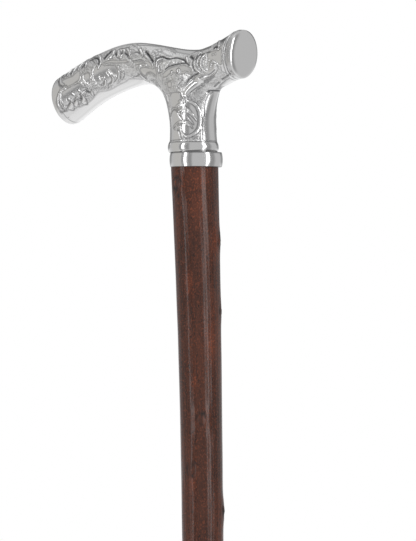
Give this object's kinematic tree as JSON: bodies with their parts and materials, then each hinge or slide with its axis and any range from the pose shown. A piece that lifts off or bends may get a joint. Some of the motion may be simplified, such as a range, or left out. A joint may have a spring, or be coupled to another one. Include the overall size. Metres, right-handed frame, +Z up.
{
  "type": "walking stick",
  "caption": "Walking stick with a stamped silver crook handle, flat nose disc, silver collar, natural bark-on shaft with trimmed knots and a rubber ferrule.",
  "frame": {"origin": "middle of the ferrule's foot, on the floor", "axes": "+Z up the stick; the handle lies in the XZ plane with its heel towards -X and its nose disc towards +X"},
  "size_m": [0.1119, 0.04, 0.9125],
  "materials": {
    "silver": "polished silver with chased relief",
    "pitch": "cast pitch",
    "brass": "turned",
    "steel": "drawn",
    "bark": "varnished bark",
    "rubber": "moulded rubber"
  },
  "bodies": {
    "root": {"handle_shell_near": "silver", "handle_shell_far": "silver", "handle_filling": "pitch", "nose_cap": "silver", "heel_cap": "silver", "rim_band": "silver", "stud_insert": "brass", "joining_stud": "steel", "shaft_collar": "silver", "shaft": "bark", "rubber_ferrule": "rubber", "ferrule_washer": "steel"}
  },
  "joints": []
}
